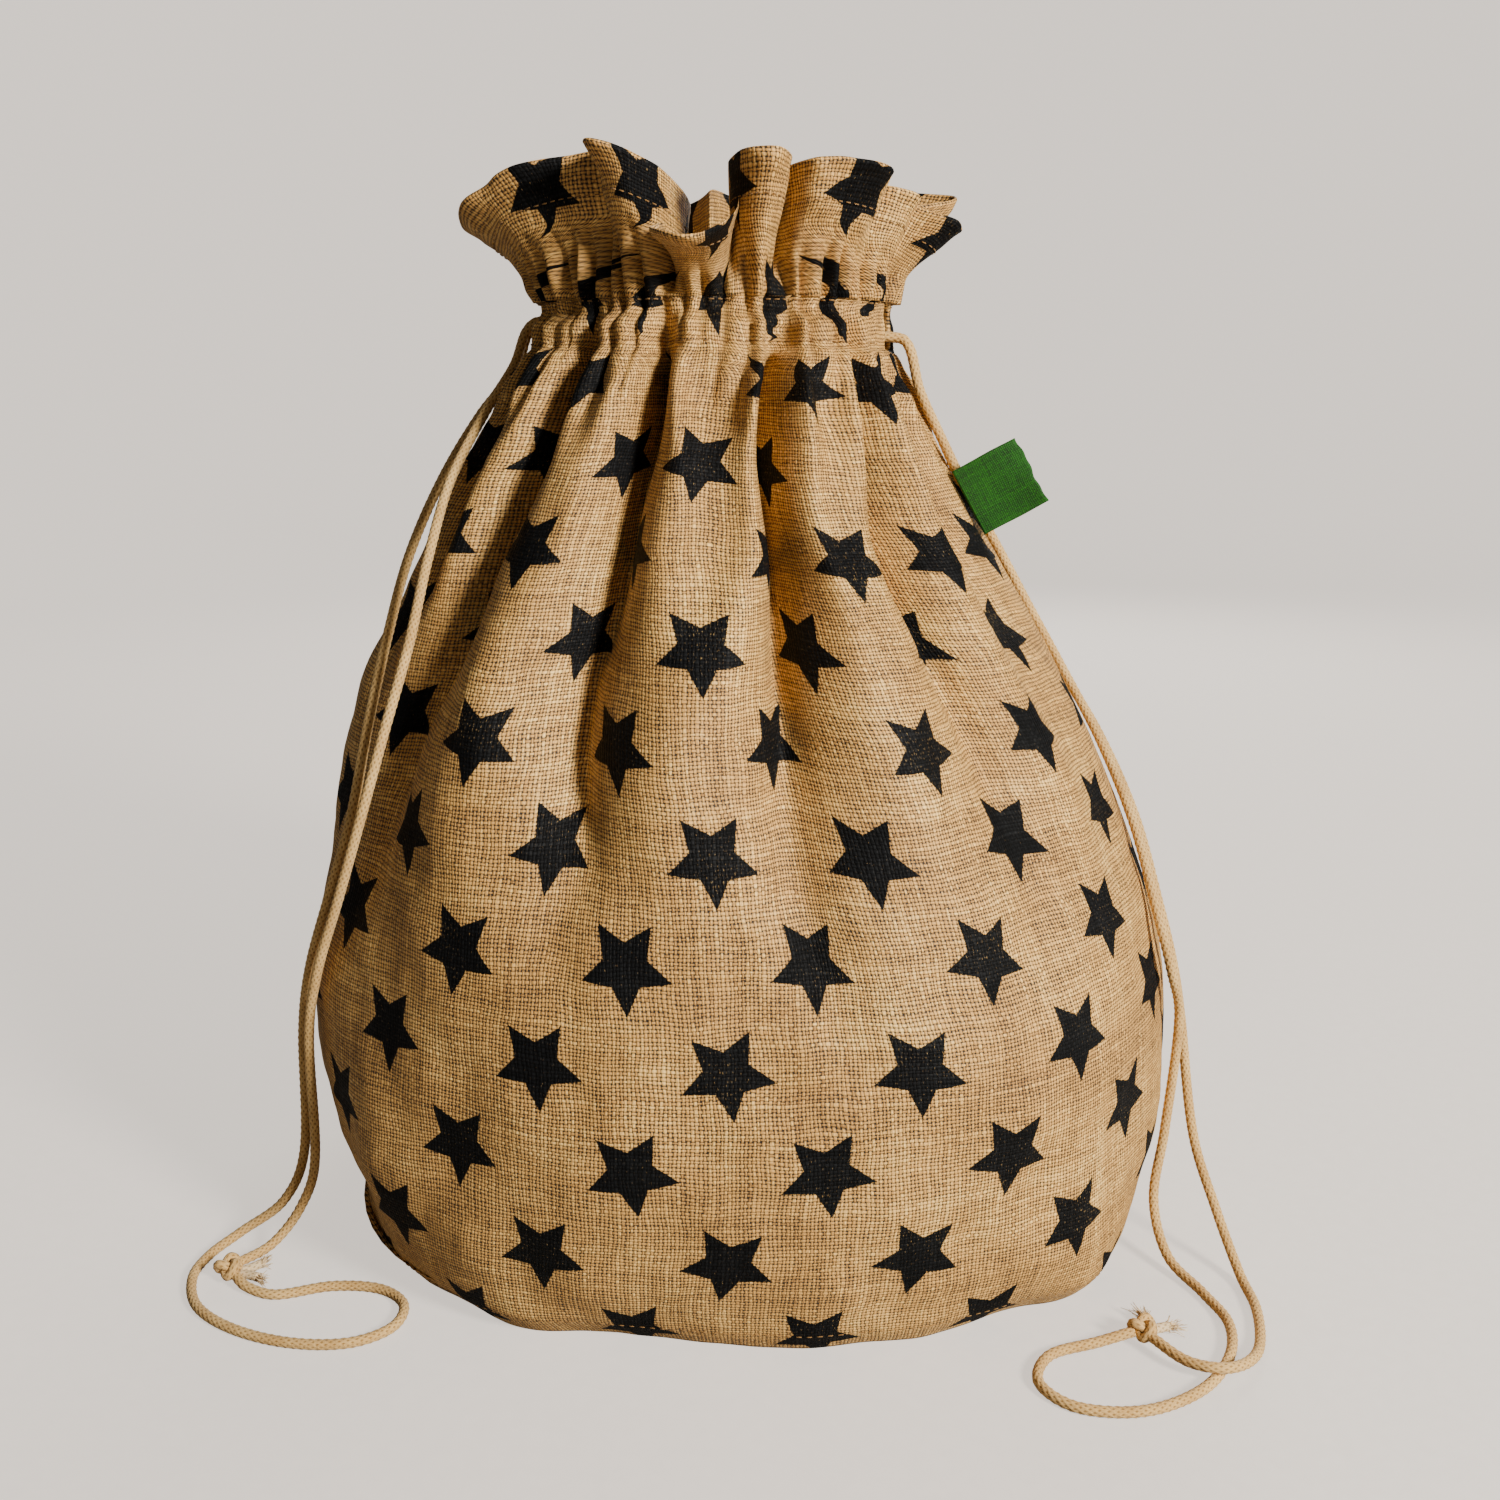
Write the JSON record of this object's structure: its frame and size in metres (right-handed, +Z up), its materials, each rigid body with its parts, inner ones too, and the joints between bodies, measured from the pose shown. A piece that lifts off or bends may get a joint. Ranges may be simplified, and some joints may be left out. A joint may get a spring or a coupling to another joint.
{
  "type": "drawstring gift sack",
  "caption": "Full, standing jute drawstring sack with a gathered neck, a ruffled collar, knotted drawcords that hang down its sides and a plain folded tape label in one side seam.",
  "frame": {"origin": "on the ground under the middle of the sack's foot, which is the bottom centre of the sack without its free cords", "axes": "+Z up, front of the sack towards -Y, the label's side seam towards +X"},
  "size_m": [0.434, 0.3653, 0.443],
  "materials": {
    "printed_jute": "open plain-weave natural jute printed all over with black five-pointed stars",
    "plain_jute": "plain-weave natural jute, unprinted side",
    "cotton_cord": "round braided cotton cord, straw coloured",
    "sewing_thread": "spun sewing thread, natural",
    "label_tape": "woven tape, plain green"
  },
  "bodies": {
    "sack": {"front_panel": "printed_jute", "back_panel": "printed_jute", "base_panel": "printed_jute", "left_seam_allowance": "plain_jute", "right_seam_allowance": "plain_jute", "base_seam_allowance": "plain_jute", "left_seam_overlock": "sewing_thread", "right_seam_overlock": "sewing_thread", "front_casing": "printed_jute", "back_casing": "printed_jute", "base_stitching": "sewing_thread", "casing_lower_stitching": "sewing_thread", "casing_upper_stitching": "sewing_thread", "left_cord_run": "cotton_cord", "right_cord_run": "cotton_cord"},
    "collar": {"front_collar": "printed_jute", "back_collar": "printed_jute", "collar_hem_stitching": "sewing_thread"},
    "left_cord": {"left_strand_long": "cotton_cord", "left_strand_short": "cotton_cord", "left_knot": "cotton_cord", "left_knot_tails": "cotton_cord"},
    "right_cord": {"right_strand_long": "cotton_cord", "right_strand_short": "cotton_cord", "right_knot": "cotton_cord", "right_knot_tails": "cotton_cord"},
    "label": {"label": "label_tape"}
  },
  "joints": [
    {"name": "left_cord_pull", "type": "slide", "parent": "sack", "child": "left_cord", "axis": [-1, 0, 0], "range_m": [0, 0.03]},
    {"name": "right_cord_pull", "type": "slide", "parent": "sack", "child": "right_cord", "axis": [1, 0, 0], "range_m": [0, 0.03]},
    {"name": "collar_tilt", "type": "hinge", "parent": "sack", "child": "collar", "pos_m": [-0.011, 0, 0.394], "axis": [1, 0, 0], "range_deg": [-10, 10]},
    {"name": "label_flap", "type": "hinge", "parent": "sack", "child": "label", "pos_m": [0.0933, -0.01702, 0.31], "axis": [0.4775, -0.0842, -0.8746], "range_deg": [-45, 45]}
  ]
}
